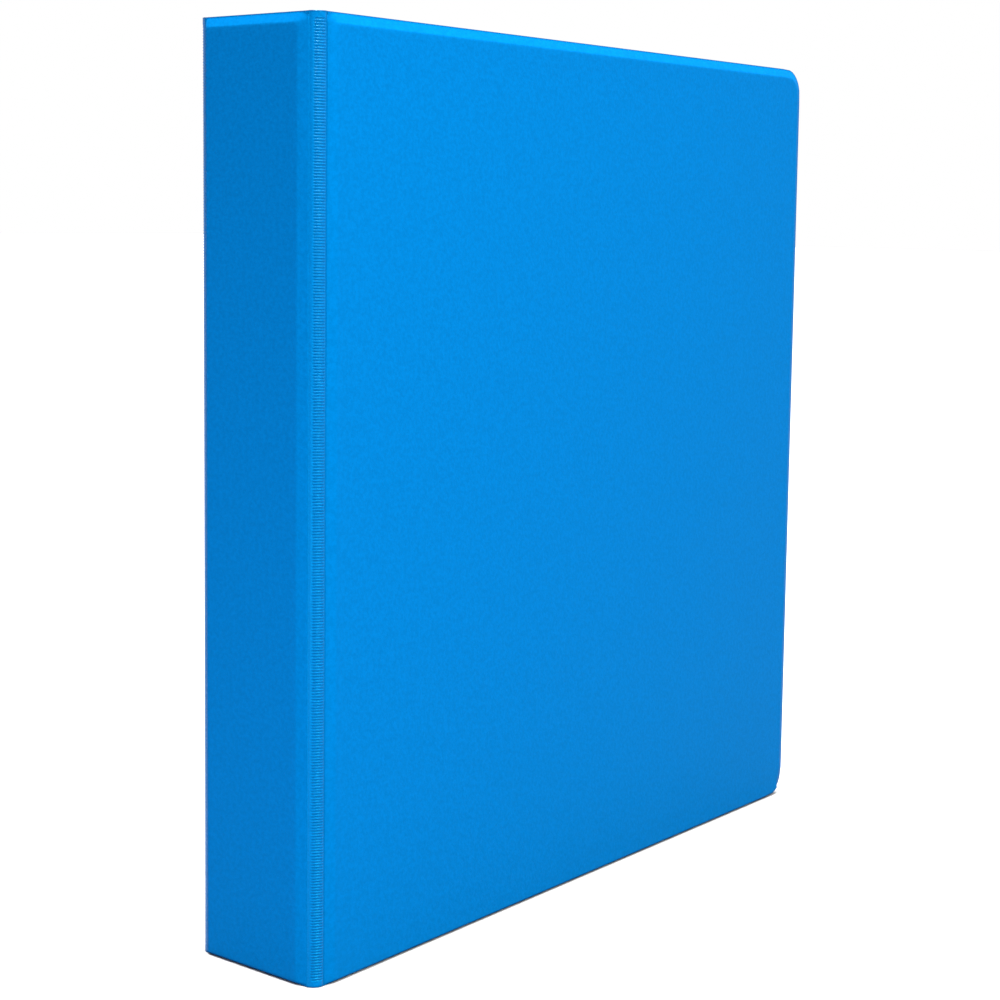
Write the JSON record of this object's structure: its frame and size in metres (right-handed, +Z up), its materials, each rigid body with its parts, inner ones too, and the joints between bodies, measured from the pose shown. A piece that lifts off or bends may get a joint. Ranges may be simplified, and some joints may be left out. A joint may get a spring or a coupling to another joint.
{
  "type": "ring binder",
  "caption": "Upright ring binder: blue vinyl covers that hinge on the spine, inside pockets, and lever-opened D rings on the back cover.",
  "frame": {"origin": "middle of the foot: centre of the bounding box's bottom face, standing upright on the bottom edge", "axes": "+Z up along the spine; +X from the spine to the free edges; the front cover faces -Y and the back cover +Y"},
  "size_m": [0.2758, 0.0544, 0.295],
  "materials": {
    "outer_vinyl": "fine leather-grained blue vinyl sheet",
    "liner_vinyl": "smooth matte blue vinyl sheet",
    "welded_vinyl": "both vinyl sheets welded together, with fine crosswise ribs",
    "pocket_vinyl": "smooth matte blue vinyl sheet",
    "chipboard": "grey chipboard, out of sight",
    "nickel_plate": "bright nickel plate on steel sheet",
    "nickel_wire": "bright nickel plate on steel wire",
    "nickel_rivet": "bright nickel plate",
    "spring_steel": "plain zinc-plated steel"
  },
  "bodies": {
    "spine": {"spine_outer_vinyl": "outer_vinyl", "spine_board": "chipboard", "spine_liner": "liner_vinyl", "front_hinge_strip": "welded_vinyl", "back_hinge_strip": "welded_vinyl"},
    "front_cover": {"front_outer_vinyl": "outer_vinyl", "front_board": "chipboard", "front_liner": "liner_vinyl", "front_pocket": "pocket_vinyl"},
    "back_cover": {"back_outer_vinyl": "outer_vinyl", "back_board": "chipboard", "back_liner": "liner_vinyl", "back_pocket": "pocket_vinyl", "ring_metal_housing": "nickel_plate", "top_rivet": "nickel_rivet", "bottom_rivet": "nickel_rivet", "top_rivet_post": "spring_steel", "bottom_rivet_post": "spring_steel", "top_lever_pin": "spring_steel", "bottom_lever_pin": "spring_steel"},
    "page_side_blade_and_posts": {"page_side_blade": "spring_steel", "top_ring_post": "nickel_wire", "middle_ring_post": "nickel_wire", "bottom_ring_post": "nickel_wire"},
    "spine_side_blade_and_bows": {"spine_side_blade": "spring_steel", "top_ring_bow": "nickel_wire", "middle_ring_bow": "nickel_wire", "bottom_ring_bow": "nickel_wire"},
    "top_lever": {"top_lever": "nickel_plate"},
    "bottom_lever": {"bottom_lever": "nickel_plate"}
  },
  "joints": [
    {"name": "front_cover_hinge", "type": "hinge", "parent": "spine", "child": "front_cover", "pos_m": [-0.13576, -0.02516, 0.1475], "axis": [0, 0, -1], "range_deg": [0, 178], "deforming": ["front_hinge_strip"]},
    {"name": "back_cover_hinge", "type": "hinge", "parent": "spine", "child": "back_cover", "pos_m": [-0.13576, 0.02396, 0.1475], "axis": [0, 0, 1], "range_deg": [0, 178], "deforming": ["back_hinge_strip"]},
    {"name": "page_side_ring_opening", "type": "hinge", "parent": "back_cover", "child": "page_side_blade_and_posts", "pos_m": [-0.09705, 0.01855, 0.1475], "axis": [0, 0, 1], "range_deg": [0, 16]},
    {"name": "spine_side_ring_opening", "type": "hinge", "parent": "back_cover", "child": "spine_side_blade_and_bows", "pos_m": [-0.11865, 0.01855, 0.1475], "axis": [0, 0, -1], "range_deg": [0, 16]},
    {"name": "top_lever_turn", "type": "hinge", "parent": "back_cover", "child": "top_lever", "pos_m": [-0.10785, 0.01855, 0.2755], "axis": [-1, 0, 0], "range_deg": [0, 32]},
    {"name": "bottom_lever_turn", "type": "hinge", "parent": "back_cover", "child": "bottom_lever", "pos_m": [-0.10785, 0.01855, 0.0195], "axis": [1, 0, 0], "range_deg": [0, 32]}
  ],
  "couplings": [
    {"joint": "spine_side_ring_opening", "follows": "page_side_ring_opening", "ratio": 1},
    {"joint": "top_lever_turn", "follows": "page_side_ring_opening", "ratio": 2},
    {"joint": "bottom_lever_turn", "follows": "page_side_ring_opening", "ratio": 2}
  ]
}
